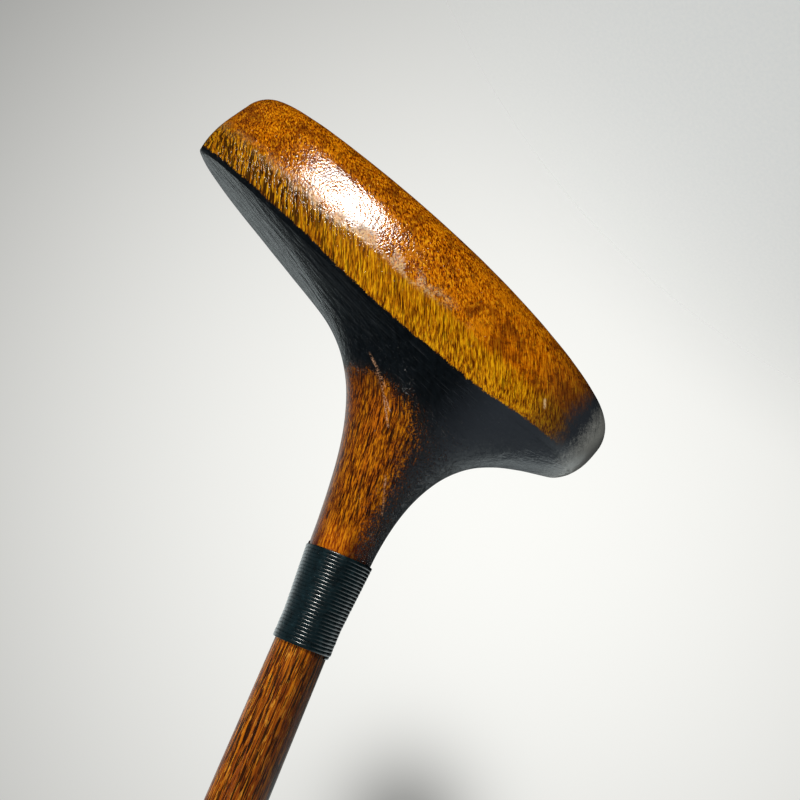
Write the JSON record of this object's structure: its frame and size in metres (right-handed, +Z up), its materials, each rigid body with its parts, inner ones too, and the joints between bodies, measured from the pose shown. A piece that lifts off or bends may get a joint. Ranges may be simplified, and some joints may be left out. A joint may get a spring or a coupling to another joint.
{
  "type": "hickory mallet putter",
  "caption": "Wooden mallet putter: head and flared neck carved as a single block, weighted with lead, on a hickory shaft bound at the joint with waxed twine, with a leather grip.",
  "frame": {"origin": "middle of the flat landing of the sole, under the plane of the shaft", "axes": "+Z up from the ground at address, +X to the toe, +Y the way the ball is struck"},
  "size_m": [0.369, 0.0298, 0.8318],
  "materials": {
    "head_wood": "old gloss varnish, amber on the walls and near black on the crown",
    "hickory": "satin varnish over open pores",
    "waxed_twine": "black, waxed",
    "poured_lead": "dull lead, scraped level",
    "wool_strip": "woven wool strip",
    "grip_leather": "worn brown leather"
  },
  "bodies": {
    "root": {"mallet_head": "head_wood", "toe_lead_plug": "poured_lead", "heel_lead_plug": "poured_lead", "shaft": "hickory", "neck_whipping": "waxed_twine", "grip_underlisting": "wool_strip", "grip_leather": "grip_leather", "grip_lower_whipping": "waxed_twine", "grip_upper_whipping": "waxed_twine"}
  },
  "joints": []
}
